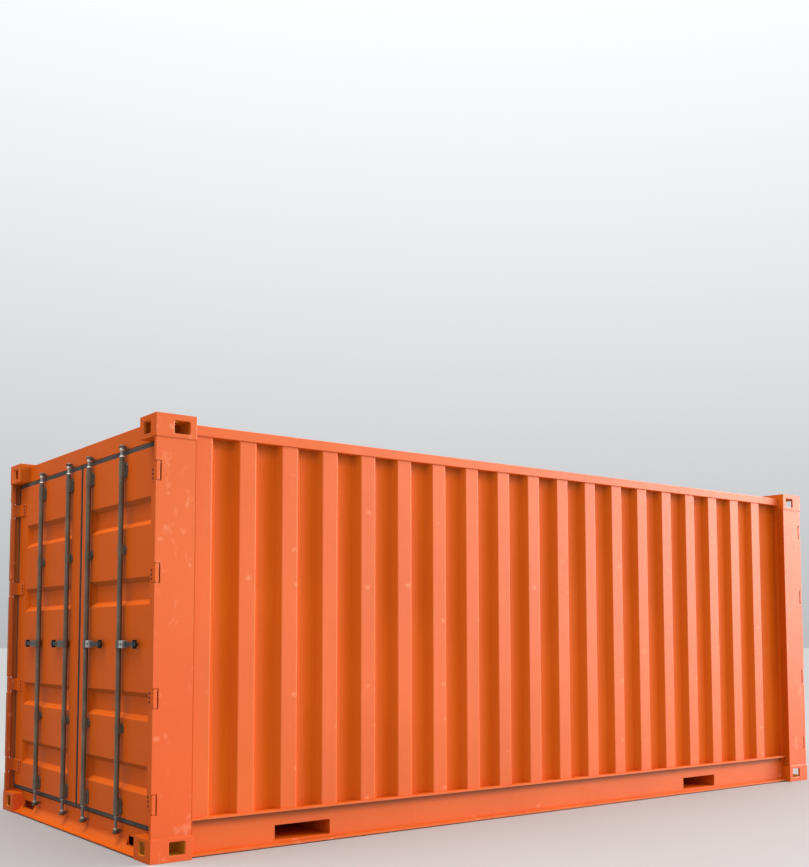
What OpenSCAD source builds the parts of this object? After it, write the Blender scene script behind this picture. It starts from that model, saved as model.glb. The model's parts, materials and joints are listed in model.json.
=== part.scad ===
// Twenty-foot steel shipping container with a pair of hinged cargo doors at each end.
// The length runs along X with the working doors at -X, and the base rests on Z = 0.
// Most pieces are drawn for the corner at -X, +Y and mirrored to the others.

/* [Overall] */
// Length over the corner fittings
container_l = 6058; // [4500:1:7000]
// Width over the corner fittings
container_w = 2438; // [2300:1:2600]
// Height over the corner fittings
container_h = 2438; // [2400:1:2900]

/* [Corner fittings] */
// Length of a fitting along the container
fitting_l = 250; // [230:1:280]
// Width of a fitting across the container
fitting_w = 212; // [200:1:230]
// Height of a fitting
fitting_h = 130; // [118:1:140]
// Thickness of the upright walls of a fitting
fitting_wall = 16; // [10:1:20]
// Thickness of the outer plate that holds the twist-lock slot
fitting_plate = 28; // [20:1:30]
// Length of the twist-lock slot
slot_l = 124; // [110:1:130]
// Width of the twist-lock slot
slot_w = 63.5; // [55:0.5:70]
// Distance of the slot's centre from the end of the container
slot_u = 102.5; // [90:0.5:110]
// Distance of the slot's centre from the side of the container
slot_v = 89.5; // [80:0.5:92]
// Width of the lifting hole in the side face
side_hole_w = 96; // [80:1:100]
// Distance of the side hole's centre from the end of the container
side_hole_u = 160; // [140:1:165]
// Width of the lifting hole in the end face
end_hole_w = 90; // [60:1:96]
// Distance of the end hole's centre from the side of the container
end_hole_v = 115; // [100:1:120]
// Height of both lifting holes
hole_h = 72; // [50:1:76]
// Corner radius of the lifting holes
hole_r = 8; // [4:1:14]

/* [Corner posts] */
// Step of the posts behind the faces of the fittings
post_inset = 4; // [2:0.5:8]
// Plate thickness of the posts
post_t = 6; // [4:0.5:8]
// Depth of the solid front edge that carries the hinge pins
lip_l = 30; // [28:1:34]
// Width of the solid front edge
lip_w = 24; // [22:1:26]
// Width of the box section behind the doors
post_w = 110; // [100:1:130]
// Set-back of the door stop from the end face
jamb_u = 120; // [118:1:130]

/* [Header and sill] */
// Set-back of the header and sill faces from the end face
beam_u = 72; // [70:1:80]
// Depth of the header and sill along the container
beam_l = 104; // [100:1:120]
// Plate thickness of the header and sill
beam_t = 8; // [5:0.5:10]
// Drop of the header's top below the top of the fittings
header_top_drop = 18; // [10:1:30]
// Height by which the door stops overlap the opening
stop_h = 24; // [16:1:28]
// Height of the sill's underside above the base
underside = 6; // [5:1:15]
// Height of the sill ledge above the bottom fittings
sill_rise = 16; // [12:1:24]
// Set-back of the sill's lower lip from the end face
sill_lip_u = 5; // [0:1:12]
// Thickness of the upper edge of the strip that curves down to the lip
lip_edge = 1.5; // [1:0.5:4]
// Width of the slot at each end of the sill
sill_slot_w = 200; // [120:1:210]
// Height of the slots in the sill
sill_slot_h = 50; // [30:1:56]
// Height of the sill slots above the base
sill_slot_z = 36; // [24:1:44]
// Distance of the sill slots' centres from the side of the container
sill_slot_v = 345; // [335:1:400]

/* [Side rails] */
// Set-back of the top rails from the side face
top_rail_v = 50; // [44:1:54]
// Side of the square top rail tube
top_rail_w = 60; // [58:1:66]
// Wall thickness of the top rail tube
top_rail_t = 4; // [3:0.5:6]
// Height of the top rail's top below the top of the fittings
top_rail_drop = 36; // [24:1:40]
// Set-back of the bottom rail flanges from the side face
bottom_rail_v = 40; // [36:1:46]
// Set-back of the bottom rail web from the side face
web_v = 78; // [70:1:84]
// Web thickness of the bottom rail
web_t = 6; // [4:0.5:8]
// Flange thickness of the bottom rail
flange_t = 14; // [10:1:16]
// Height of the bottom rail's top above the base
bottom_rail_top = 215; // [200:1:230]

/* [Fork pockets] */
// Clear width of a fork pocket
pocket_w = 385; // [340:1:400]
// Clear height of a fork pocket
pocket_h = 86; // [80:1:96]
// Height of the fork pocket's floor above the base
pocket_z = 34; // [32:1:40]
// Plate thickness of the fork pocket tunnels
pocket_t = 6; // [4:0.5:8]
// Width of the plain rim beside the mouth of a fork pocket
mouth_rim = 30; // [20:1:60]
// Distance of the middle of the pocket near the working doors from that end
pocket_door_u = 1009; // [900:1:1500]
// Distance of the middle of the other pocket from the far end
pocket_far_u = 1359; // [900:1:1600]

/* [Side walls and roof] */
// Set-back of the outer flats of the side walls from the side face
wall_v = 58; // [56:1:62]
// Depth of the side corrugation
rib_depth = 44; // [30:1:46]
// Pitch of the side corrugation
rib_pitch = 287; // [270:1:300]
// Width of an outer flat
rib_flat = 107; // [95:1:125]
// Run of each sloping flank along the wall
rib_flank = 38; // [26:1:46]
// Width of the first flat beside the post
rib_first = 125; // [100:1:140]
// Sheet thickness of the walls, measured across the wall
sheet_t = 4; // [3:0.5:6]
// Radius of the bends in the pressed sheets
bend_r = 10; // [6:1:12]
// Height of the roof's valleys below the top of the fittings
roof_drop = 60; // [52:1:72]
// Depth of the roof corrugation
roof_rib_h = 20; // [15:1:24]
// Pitch of the roof corrugation
roof_pitch = 209; // [190:1:230]
// Width of a roof ridge
roof_ridge = 91; // [70:1:100]
// Run of each roof flank
roof_flank = 18; // [12:1:24]
// Width of the plain border at each end of the roof
roof_border = 90; // [60:1:120]

/* [Floor] */
// Height of the floor surface above the base
floor_top = 170; // [168:1:176]
// Thickness of the plywood floor
floor_t = 28; // [24:1:30]
// Width of a cross member's flanges
member_w = 45; // [40:1:60]
// Plate thickness of the cross members
member_t = 5; // [4:0.5:6]
// Largest spacing of the cross members
member_pitch = 300; // [250:1:330]
// Height of a cross member
member_h = 112; // [100:1:114]

/* [Doors] */
// Set-back of the door faces from the end face
door_u = 64; // [62:1:68]
// Thickness of the door frames
door_t = 46; // [42:1:48]
// Width of the door frame members
stile_w = 140; // [120:1:150]
// Height of the frame members at the top and bottom of a door
door_rail_h = 120; // [90:1:130]
// Depth of the pressed recesses in the door panels
recess_depth = 30; // [20:1:34]
// Height of a pressed recess
recess_h = 156; // [130:1:170]
// Run of the sloping edges of a recess
recess_slope = 28; // [16:1:36]
// Height of the lowest recess
recess_z1 = 418; // [400:1:430]
// Height of the second recess
recess_z2 = 820; // [800:1:840]
// Distance of the third recess below the top of the container
recess_drop3 = 968; // [950:1:1000]
// Distance of the topmost recess below the top of the container
recess_drop4 = 518; // [500:1:540]
// Visible width of the rubber seal round a door
seal_w = 26; // [20:1:30]
// Visible width of the seal where the doors meet
seal_mid_w = 12; // [8:1:14]
// Set-back of the seal behind the door face
seal_step = 1; // [0:0.5:8]
// Thickness of the seal
seal_t = 36; // [24:1:38]
// Running clearance round the doors
door_gap = 6; // [6:0.5:9]
// Clearance between the seals of the two doors
mid_gap = 10; // [9:0.5:12]

/* [Hinges] */
// Height of the lowest hinge
hinge_z1 = 312; // [300:1:330]
// Height of the second hinge
hinge_z2 = 876; // [860:1:900]
// Distance of the third hinge below the top of the container
hinge_drop3 = 883; // [860:1:910]
// Distance of the topmost hinge below the top of the container
hinge_drop4 = 321; // [310:1:340]
// Radius of the hinge pins
pin_r = 7; // [5:0.5:7]
// Radial clearance round the hinge pins
pin_fit = 0.05; // [0.03:0.01:0.1]
// Length of a hinge pin
pin_l = 164; // [150:1:180]
// Width of the squared hinge knuckles
knuckle_w = 24; // [20:0.5:24]
// Height of the hinge knuckles
knuckle_h = 100; // [90:1:102]
// Corner radius of the hinge knuckles
knuckle_round = 4; // [2:0.5:8]
// Height of the hinge blades
blade_h = 84; // [70:1:90]
// Height of the cut-outs in the post edges
notch_h = 112; // [108:1:120]
// Depth of the cut-outs beyond the solid front edge of a post
notch_over = 4; // [2:1:8]
// Thickness of the hinge blades
blade_t = 8; // [6:0.5:9]
// Thickness of the neck between a knuckle and its blade
neck_t = 10; // [8:0.5:10]
// Reach of a hinge blade on to the door
blade_l = 150; // [80:1:170]
// Corner radius of the hinge blades
blade_round = 8; // [4:1:8]

/* [Locking gear] */
// Set-back of the locking bars' axes from the end face
bar_u = 39; // [37:0.5:41]
// Distance of the inner bars from the middle of the container
bar_inner = 172; // [150:1:200]
// Distance of the outer bars from the middle of the container
bar_outer = 675; // [640:1:720]
// Radius of a locking bar
bar_r = 15; // [13:0.5:16]
// Radial clearance of the bars in their guides
bar_fit = 0.05; // [0.03:0.01:0.1]
// Radius of the slim necks that cross the seals
bar_neck_r = 9; // [7:0.5:11]
// Radius of the cams on the bar ends
cam_r = 19; // [16:0.5:23]
// Reach of the cam nose
cam_nose = 25; // [22:0.5:27]
// Height of a cam
cam_h = 14; // [12:1:18]
// Height of the tapered outer side of a cam
cam_taper = 5; // [2:0.5:8]
// Clearance between a cam and its keepers
cam_gap = 2; // [1:0.5:4]
// Distance of a bar's lower shoulder above the foot of the door
shoulder_low = 10; // [5:1:30]
// Distance of a bar's upper shoulder below the head of the door
shoulder_high = 16; // [5:1:30]
// Height of the upper keepers above the underside of the header
keeper_lift = 2; // [0:1:10]
// Distance of the lower keepers below the ledge of the sill
keeper_drop = 38; // [30:1:44]
// Height of a keeper cheek
keeper_h = 7; // [5:0.5:9]
// Thickness of a keeper cheek
keeper_t = 8; // [6:0.5:10]
// Clearance between a keeper and the bar's neck
keeper_gap = 8; // [7:0.5:9]
// Height of the long guides near the ends of the bars
long_guide_h = 85; // [60:1:100]
// Height of the short guides between
short_guide_h = 52; // [40:1:64]
// Distance of the lowest guides above the bars' lower shoulders
guide_low_gap = 6; // [2:1:40]
// Distance of the topmost guides below the bars' upper shoulders
guide_high_gap = 30; // [2:1:40]
// Height of the lower short guides
guide_z_low = 683; // [650:1:700]
// Distance of the upper short guides below the top of the container
guide_drop_high = 722; // [700:1:750]
// Half width of a guide's foot
guide_w = 34; // [28:1:38]
// Thickness of a guide's foot
guide_t = 7; // [5:0.5:8]
// Thickness of a guide's loop round the bar
loop_t = 2; // [1.5:0.5:6]
// Corner radius of a guide's foot
guide_round = 22; // [4:1:24]

/* [Handles] */
// Height of the handles
handle_z = 1168; // [1140:1:1190]
// Length of a handle from its bar
handle_l = 245; // [200:1:260]
// Length of the hub block
hub_l = 92; // [70:1:100]
// Wall of the hub round the bar
hub_t = 5; // [4:0.5:5]
// Depth of the hub block behind the bar's axis
hub_back = 12; // [8:1:16]
// Height of the hub block
hub_h = 44; // [36:1:50]
// Height of the grip
grip_h = 24; // [18:1:30]
// Thickness of the grip
grip_t = 18; // [14:1:20]
// Height of the stop plate near the grip's end
catch_h = 50; // [44:1:60]
// Width of the stop plate
catch_w = 16; // [10:1:24]
// Distance of the stop plate from the end of the handle
catch_inset = 30; // [20:1:50]
// Overhang of the stop plate beyond the faces of the grip
catch_proud = 3; // [1:0.5:5]

/* [Hidden] */
$fn = 48;

orange = [0.85, 0.36, 0.16];
dark_steel = [0.24, 0.24, 0.23];
grey_steel = [0.55, 0.55, 0.53];
rubber = [0.17, 0.17, 0.16];
plywood = [0.52, 0.36, 0.22];

// Cuts run past the faces they open by this much
over = 1;
// Clearance of a press-on hub round its bar
hub_fit = 0.02;
// Seam between the sill's face and its curved strip
lip_seam = 0.2;
// Straight steps in each bend of the pressed sheets
bend_steps = 3;

end_x = container_l / 2;
side_y = container_w / 2;
middle_v = container_w / 2;
wall_x = end_x - fitting_l;
post_z0 = fitting_h;
post_z1 = container_h - fitting_h;
web_back_v = web_v + web_t;
wall_z0 = bottom_rail_top;
top_rail_z1 = container_h - top_rail_drop;
wall_z1 = top_rail_z1 - top_rail_w;
beam_back_u = beam_u + beam_l;
header_z0 = post_z1;
header_z1 = container_h - header_top_drop;
post_inner_v = post_inset + post_w;
sill_top = fitting_h + sill_rise;

// Hollow curve that brings the sill's face forward to its lower lip
cove_r = beam_u - sill_lip_u;
cove_z = underside + beam_t + cove_r;
lip_top = cove_z - sqrt(pow(cove_r, 2) - pow(cove_r - lip_seam - lip_edge, 2));

// Hinge pin axis, in the middle of the post's front edge
pin_u = post_inset + lip_l / 2;
pin_v = post_inset + lip_w / 2;
hinge_zs = [hinge_z1, hinge_z2, container_h - hinge_drop3, container_h - hinge_drop4];
notch_u = post_inset + lip_l + notch_over;

// Outline of a door leaf and of its seal
seal_z0 = sill_top + door_gap;
seal_z1 = header_z0 - door_gap;
door_z0 = seal_z0 + seal_w;
door_z1 = seal_z1 - seal_w;
seal_v0 = pin_v + door_gap;
seal_v1 = middle_v - mid_gap / 2;
door_v0 = seal_v0 + seal_w;
door_v1 = seal_v1 - seal_mid_w;
door_back_u = door_u + door_t;
recess_zs = [recess_z1, recess_z2, container_h - recess_drop3, container_h - recess_drop4];

// Ends of the locking bars
bar_vs = [middle_v - bar_outer, middle_v - bar_inner];
keeper_z1 = header_z0 + keeper_lift;
cam_z1 = keeper_z1 + keeper_h + cam_gap;
keeper_z0 = sill_top - keeper_drop;
cam_z0 = keeper_z0 - keeper_h - cam_gap;
neck_z0 = door_z0 + shoulder_low;
neck_z1 = door_z1 - shoulder_high;
guide_z_bottom = neck_z0 + guide_low_gap + long_guide_h / 2;
guide_z_top = neck_z1 - guide_high_gap - long_guide_h / 2;
guide_z_high = container_h - guide_drop_high;

// Number of whole ribs that fit along the side wall and the roof
rib_count = floor((2 * wall_x - rib_first - rib_pitch) / rib_pitch) + 1;
roof_count = floor(2 * (wall_x - roof_border) / roof_pitch);
roof_z = container_h - roof_drop;

// Fork pockets, and the lengths of plain bottom rail between their mouths
pocket_xs = [-end_x + pocket_door_u, end_x - pocket_far_u];
mouth_half = pocket_w / 2 + mouth_rim;
rail_spans = [
    [-wall_x, pocket_xs[0] - mouth_half],
    [pocket_xs[0] + mouth_half, pocket_xs[1] - mouth_half],
    [pocket_xs[1] + mouth_half, wall_x]
];
web_y = side_y - web_v;
member_l = container_w - 2 * web_back_v;
member_count = ceil(2 * wall_x / member_pitch);

// Places its children from the outer corner at the working door end:
// X runs inward from the end face and -Y inward from the side face.
module left_corner() {
    translate([-end_x, side_y, 0]) children();
}

module both_sides() {
    children();
    mirror([0, 1, 0]) children();
}

module far_end() {
    mirror([1, 0, 0]) children();
}

module both_ends() {
    children();
    far_end() children();
}

// Box between two set-backs u from the end face, two set-backs v from the side face and two heights
module block(u, v, z) {
    translate([u[0], -v[1], z[0]]) cube([u[1] - u[0], v[1] - v[0], z[1] - z[0]]);
}

// Upright cylinder at a set-back u, v
module post_round(u, v, z, r) {
    translate([u, -v, z[0]]) cylinder(r = r, h = z[1] - z[0]);
}

// Sweeps an outline drawn in set-back u and height z across the container, from v[0] to v[1]
module across(v) {
    translate([0, -v[0], 0]) rotate([90, 0, 0]) linear_extrude(v[1] - v[0]) children();
}

// Sweeps an outline drawn in Y and Z along the container, between two X planes
module along(x) {
    translate([x[0], 0, 0]) rotate([90, 0, 90]) linear_extrude(x[1] - x[0]) children();
}

// Rectangle with rounded corners about its centre
module rounded_rect(w, h, r) {
    square([w - 2 * r, h], center = true);
    square([w, h - 2 * r], center = true);
    for (x = [-1, 1]) for (y = [-1, 1]) translate([x * (w / 2 - r), y * (h / 2 - r)]) circle(r);
}

// Arc of points that rounds the corner at p on the way from a to b
function corner_arc(a, p, b, r) =
    let (
        way = (p - a) / norm(p - a),
        on = (b - p) / norm(b - p),
        turn = atan2(cross(way, on), way * on),
        start = p - r * tan(abs(turn) / 2) * way,
        arm = sign(turn) * r * [way[1], -way[0]]
    )
    [for (k = [0:bend_steps])
        let (t = turn * k / bend_steps)
        start - arm + [arm[0] * cos(t) - arm[1] * sin(t), arm[0] * sin(t) + arm[1] * cos(t)]];

// Open line of points with every corner bent to a radius
function bent(line, r) = concat(
    [line[0]],
    [for (i = [1:len(line) - 2]) each corner_arc(line[i - 1], line[i], line[i + 1], r)],
    [line[len(line) - 1]]
);

function reversed(list) = [for (i = [len(list) - 1:-1:0]) list[i]];

// Hollow casting with its twist-lock slot in the bottom plate
module fitting() {
    hole_z = (fitting_plate + fitting_h - fitting_wall) / 2;
    difference() {
        block([0, fitting_l], [0, fitting_w], [0, fitting_h]);
        block([fitting_wall, fitting_l - fitting_wall], [fitting_wall, fitting_w - fitting_wall],
              [fitting_plate, fitting_h - fitting_wall]);
        for (s = [-1, 1])
            post_round(slot_u + s * (slot_l - slot_w) / 2, slot_v, [-over, fitting_plate + over], slot_w / 2);
        block([slot_u - (slot_l - slot_w) / 2, slot_u + (slot_l - slot_w) / 2],
              [slot_v - slot_w / 2, slot_v + slot_w / 2], [-over, fitting_plate + over]);
        across([-over, fitting_wall + over]) translate([side_hole_u, hole_z])
            rounded_rect(side_hole_w, hole_h, hole_r);
        along([-over, fitting_wall + over]) translate([-end_hole_v, hole_z])
            rounded_rect(end_hole_w, hole_h, hole_r);
    }
}

module fittings_row() {
    both_ends() both_sides() left_corner() fitting();
}

module bottom_corner_fittings() {
    color(orange) fittings_row();
}

module top_corner_fittings() {
    color(orange) translate([0, 0, container_h]) mirror([0, 0, 1]) fittings_row();
}

// Folded post: a side plate, a solid front edge cut out for the hinges, and a box behind the doors
module post() {
    z = [post_z0, post_z1];
    difference() {
        union() {
            block([post_inset, post_inset + lip_l], [post_inset, post_inset + lip_w], z);
            block([post_inset, fitting_l], [post_inset, post_inset + post_t], z);
            difference() {
                block([jamb_u, fitting_l], [post_inset, post_inner_v], z);
                block([jamb_u + post_t, fitting_l - post_t], [post_inset + post_t, post_inner_v - post_t],
                      [post_z0 - over, post_z1 + over]);
            }
        }
        for (hz = hinge_zs) {
            block([post_inset - over, notch_u], [post_inset - over, post_inset + lip_w + over],
                  [hz - notch_h / 2, hz + notch_h / 2]);
            post_round(pin_u, pin_v, [hz - pin_l / 2, hz + pin_l / 2], pin_r + pin_fit);
        }
    }
}

module door_end_posts() {
    color(orange) both_sides() left_corner() post();
}

module far_end_posts() {
    color(orange) far_end() both_sides() left_corner() post();
}

// Box beam over the doors, with a stop that hangs behind them
module header() {
    left_corner() {
        across([fitting_w, container_w - fitting_w])
            difference() {
                translate([beam_u, header_z0]) square([beam_l, header_z1 - header_z0]);
                translate([beam_u + beam_t, header_z0 + beam_t])
                    square([beam_l - 2 * beam_t, header_z1 - header_z0 - 2 * beam_t]);
            }
        block([jamb_u, jamb_u + beam_t], [post_inner_v, container_w - post_inner_v],
              [header_z0 - stop_h, header_z0]);
    }
}

module door_header() {
    color(orange) header();
}

module far_header() {
    color(orange) far_end() header();
}

// Strip that curves forward from the sill's face to a lip in line with the corner fittings
module sill_lip() {
    difference() {
        translate([sill_lip_u, underside]) square([cove_r - lip_seam, lip_top - underside]);
        translate([sill_lip_u, cove_z]) circle(cove_r);
        difference() {
            translate([sill_lip_u, underside + beam_t]) square([cove_r, lip_top - underside]);
            translate([sill_lip_u, cove_z]) circle(cove_r + beam_t);
        }
    }
}

// Folded channel under the doors with a raised threshold behind them, its curved lip, and a slot at each end
module sill() {
    span = [fitting_w, container_w - fitting_w];
    left_corner() difference() {
        union() {
            across(span)
                polygon([
                    [beam_u, underside], [beam_back_u, underside],
                    [beam_back_u, underside + beam_t], [beam_u + beam_t, underside + beam_t],
                    [beam_u + beam_t, sill_top - beam_t], [jamb_u, sill_top - beam_t],
                    [jamb_u, floor_top - beam_t], [beam_back_u, floor_top - beam_t],
                    [beam_back_u, floor_top], [jamb_u - beam_t, floor_top],
                    [jamb_u - beam_t, sill_top], [beam_u, sill_top]
                ]);
            across(span) sill_lip();
            both_wings() block([beam_u, jamb_u - beam_t], [post_inset + post_t + door_gap, fitting_w],
                               [fitting_h, sill_top]);
        }
        both_wings() block([sill_lip_u, beam_u + beam_t + over],
                           [sill_slot_v - sill_slot_w / 2, sill_slot_v + sill_slot_w / 2],
                           [sill_slot_z, sill_slot_z + sill_slot_h]);
    }
}

// Repeats its children at the opposite side, in the corner's own directions
module both_wings() {
    children();
    translate([0, -container_w, 0]) mirror([0, 1, 0]) children();
}

module door_sill() {
    color(orange) sill();
}

module far_sill() {
    color(orange) far_end() sill();
}

module top_side_rails() {
    y = side_y - top_rail_v - top_rail_w;
    color(orange) both_sides() along([-wall_x, wall_x]) difference() {
        translate([y, wall_z1]) square(top_rail_w);
        translate([y + top_rail_t, wall_z1 + top_rail_t]) square(top_rail_w - 2 * top_rail_t);
    }
}

// Channel that opens outward, with a wide top flange under the wall
module rail_section() {
    outer = side_y - bottom_rail_v;
    inner = side_y - wall_v - rib_depth - 2 * sheet_t;
    polygon([
        [outer, underside], [web_y - web_t, underside], [web_y - web_t, wall_z0 - flange_t],
        [inner, wall_z0 - flange_t], [inner, wall_z0], [outer, wall_z0],
        [outer, wall_z0 - flange_t], [web_y, wall_z0 - flange_t], [web_y, underside + flange_t],
        [outer, underside + flange_t]
    ]);
}

module bottom_side_rails() {
    color(orange) both_sides() for (x = rail_spans) along(x) rail_section();
}

// Lengths of the same channel between the plain rails, with a window for the fork-lift tine
module fork_pocket_mouths() {
    color(orange) both_sides() for (x = pocket_xs) difference() {
        along([x - mouth_half, x + mouth_half]) rail_section();
        translate([x - pocket_w / 2, web_y - web_t - over, pocket_z])
            cube([pocket_w, web_t + 2 * over, pocket_h]);
    }
}

// Rectangular tunnels between the two bottom rails
module fork_pockets() {
    color(orange) for (x = pocket_xs) translate([x, 0, pocket_z + pocket_h / 2]) difference() {
        cube([pocket_w + 2 * pocket_t, member_l, pocket_h + 2 * pocket_t], center = true);
        cube([pocket_w, member_l + 2 * over, pocket_h], center = true);
    }
}

// Channel-section joists under the floor, left out where a fork pocket crosses
module cross_members() {
    z0 = floor_top - floor_t - member_h;
    room = pocket_w / 2 + pocket_t + member_w;
    color(orange) for (i = [0:member_count]) {
        x = -wall_x + member_w / 2 + i * (2 * wall_x - member_w) / member_count;
        clear = len([for (p = pocket_xs) if (abs(x - p) < room) p]) == 0;
        if (clear) translate([x - member_w / 2, 0, z0]) difference() {
            translate([0, -member_l / 2, 0]) cube([member_w, member_l, member_h]);
            translate([member_t, -member_l / 2 - over, member_t])
                cube([member_w, member_l + 2 * over, member_h - 2 * member_t]);
        }
    }
}

module floor() {
    tongue_w = container_w - 2 * post_inner_v;
    tongue_l = container_l - 2 * beam_back_u;
    color(plywood) translate([0, 0, floor_top - floor_t / 2]) union() {
        cube([2 * wall_x, member_l, floor_t], center = true);
        cube([tongue_l, tongue_w, floor_t], center = true);
    }
}

// Trapezoid corrugation as a list of points: distance along the wall and set-back from the outer flats
function rib_line() = concat(
    [[-wall_x, 0]],
    [for (i = [0:rib_count - 1])
        let (a = -wall_x + rib_first + i * rib_pitch, b = a + rib_pitch - rib_flat)
        each [[a, 0], [a + rib_flank, rib_depth], [b - rib_flank, rib_depth], [b, 0]]],
    let (a = -wall_x + rib_first + rib_count * rib_pitch)
        [[a, 0], [a + rib_flank, rib_depth], [wall_x, rib_depth]]
);

module side_wall() {
    line = bent(rib_line(), bend_r);
    y = side_y - wall_v;
    outer = [for (p = line) [p[0], y - p[1]]];
    inner = [for (p = reversed(line)) [p[0], y - p[1] - sheet_t]];
    translate([0, 0, wall_z0]) linear_extrude(wall_z1 - wall_z0) polygon(concat(outer, inner));
}

module left_side_wall() {
    color(orange) side_wall();
}

module right_side_wall() {
    color(orange) mirror([0, 1, 0]) side_wall();
}

// Ridges across the roof as a list of points: distance along the container and height over the valleys
function roof_line() = concat(
    [[-wall_x, 0]],
    [for (i = [0:roof_count - 1])
        let (a = (i - roof_count / 2) * roof_pitch + (roof_pitch - roof_ridge) / 2, b = a + roof_ridge)
        each [[a, 0], [a + roof_flank, roof_rib_h], [b - roof_flank, roof_rib_h], [b, 0]]],
    [[wall_x, 0]]
);

// Ridged sheet between the top rails, with a plain apron that reaches each header between the fittings
module roof() {
    line = bent(roof_line(), bend_r);
    half = side_y - top_rail_v - top_rail_w;
    apron = side_y - fitting_w;
    upper = [for (p = line) [p[0], roof_z + p[1] + sheet_t]];
    lower = [for (p = reversed(line)) [p[0], roof_z + p[1]]];
    color(orange) {
        rotate([90, 0, 0]) linear_extrude(2 * half, center = true) polygon(concat(upper, lower));
        both_ends() translate([-end_x + beam_back_u, -apron, roof_z])
            cube([fitting_l - beam_back_u + over, 2 * apron, sheet_t]);
    }
}

module pins() {
    both_sides() left_corner() for (hz = hinge_zs)
        post_round(pin_u, pin_v, [hz - pin_l / 2, hz + pin_l / 2], pin_r);
}

module hinge_pins() {
    color(orange) both_ends() pins();
}

// Open-fronted cheeks on the header and sill that take the necks of the bars
module keepers() {
    gap = bar_neck_r + keeper_gap;
    both_sides() left_corner() for (v = bar_vs) for (s = [-1, 1]) {
        cheek = s > 0 ? [v + gap, v + gap + keeper_t] : [v - gap - keeper_t, v - gap];
        block([bar_u - bar_neck_r, beam_u], cheek, [keeper_z1, keeper_z1 + keeper_h]);
        block([bar_u - bar_neck_r, beam_u], cheek, [keeper_z0 - keeper_h, keeper_z0]);
    }
}

module bar_keepers() {
    color(dark_steel) both_ends() keepers();
}

// Section of the door panel: flat at the door face, with four pressed recesses
function panel_line() = concat(
    [[door_u, door_z0 + door_rail_h]],
    [for (z = recess_zs)
        let (lo = z - recess_h / 2, hi = z + recess_h / 2)
        each [[door_u, lo], [door_u + recess_depth, lo + recess_slope],
              [door_u + recess_depth, hi - recess_slope], [door_u, hi]]],
    [[door_u, door_z1 - door_rail_h]]
);

// Welded frame round a pressed panel, whose recesses have sloping ends
module leaf() {
    line = bent(panel_line(), bend_r);
    back = [for (p = reversed(line)) [p[0] + sheet_t, p[1]]];
    panel_v = [door_v0 + stile_w, door_v1 - stile_w];
    left_corner() union() {
        block([door_u, door_back_u], [door_v0, door_v0 + stile_w], [door_z0, door_z1]);
        block([door_u, door_back_u], [door_v1 - stile_w, door_v1], [door_z0, door_z1]);
        block([door_u, door_back_u], panel_v, [door_z0, door_z0 + door_rail_h]);
        block([door_u, door_back_u], panel_v, [door_z1 - door_rail_h, door_z1]);
        across(panel_v) polygon(concat(line, back));
        for (z = recess_zs) translate([door_u, 0, z - recess_h / 2]) linear_extrude(recess_h) {
            translate([0, -panel_v[0]])
                polygon([[0, 0], [recess_depth, 0], [recess_depth, -recess_slope]]);
            translate([0, -panel_v[1]])
                polygon([[0, 0], [recess_depth, 0], [recess_depth, recess_slope]]);
        }
    }
}

module left_door() {
    color(orange) leaf();
}

module right_door() {
    color(orange) mirror([0, 1, 0]) leaf();
}

module far_doors() {
    color(orange) far_end() both_sides() leaf();
}

// Rubber frame that closes the gap round a leaf
module seal() {
    u = [door_u + seal_step, door_u + seal_step + seal_t];
    left_corner() difference() {
        block(u, [seal_v0, seal_v1], [seal_z0, seal_z1]);
        block([u[0] - over, u[1] + over], [door_v0, door_v1], [door_z0, door_z1]);
    }
}

module left_door_seal() {
    color(rubber) seal();
}

module right_door_seal() {
    color(rubber) mirror([0, 1, 0]) seal();
}

module far_door_seals() {
    color(rubber) far_end() both_sides() seal();
}

// Knuckle on the pin, a neck that runs back past the post edge, and a blade on the door face
module hinges() {
    left_corner() for (hz = hinge_zs) {
        z = [hz - blade_h / 2, hz + blade_h / 2];
        difference() {
            union() {
                translate([pin_u, -pin_v, hz]) linear_extrude(knuckle_h, center = true)
                    rounded_rect(knuckle_w, knuckle_w, knuckle_round);
                block([pin_u, door_u], [pin_v, pin_v + neck_t], z);
                along([door_u - blade_t, door_u]) translate([-pin_v - blade_l / 2, hz])
                    rounded_rect(blade_l, blade_h, blade_round);
            }
            post_round(pin_u, pin_v, [hz - pin_l / 2, hz + pin_l / 2], pin_r + pin_fit);
        }
    }
}

module left_door_hinges() {
    color(orange) hinges();
}

module right_door_hinges() {
    color(orange) mirror([0, 1, 0]) hinges();
}

module far_door_hinges() {
    color(orange) far_end() both_sides() hinges();
}

// Foot on the door face with a loop round the bar
module guide(v, z, h) {
    zs = [z - h / 2, z + h / 2];
    foot_r = min(guide_round, h / 2 - over);
    difference() {
        union() {
            along([door_u - guide_t, door_u]) translate([-v, z]) rounded_rect(2 * guide_w, h, foot_r);
            post_round(bar_u, v, zs, bar_r + loop_t);
            block([bar_u, door_u], [v - bar_r - loop_t, v + bar_r + loop_t], zs);
        }
        post_round(bar_u, v, [zs[0] - over, zs[1] + over], bar_r + bar_fit);
    }
}

module guides() {
    left_corner() for (v = bar_vs) {
        guide(v, guide_z_bottom, long_guide_h);
        guide(v, guide_z_low, short_guide_h);
        guide(v, guide_z_high, short_guide_h);
        guide(v, guide_z_top, long_guide_h);
    }
}

module left_bar_guides() {
    color(dark_steel) guides();
}

module right_bar_guides() {
    color(dark_steel) mirror([0, 1, 0]) guides();
}

module far_bar_guides() {
    color(dark_steel) far_end() both_sides() guides();
}

// Round bar with slim necks that cross the seals
module locking_bar(v) {
    left_corner() union() {
        post_round(bar_u, v, [neck_z0, neck_z1], bar_r);
        post_round(bar_u, v, [cam_z0, cam_z1], bar_neck_r);
    }
}

module locking_bar_left_outer() {
    color(dark_steel) locking_bar(bar_vs[0]);
}

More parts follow.
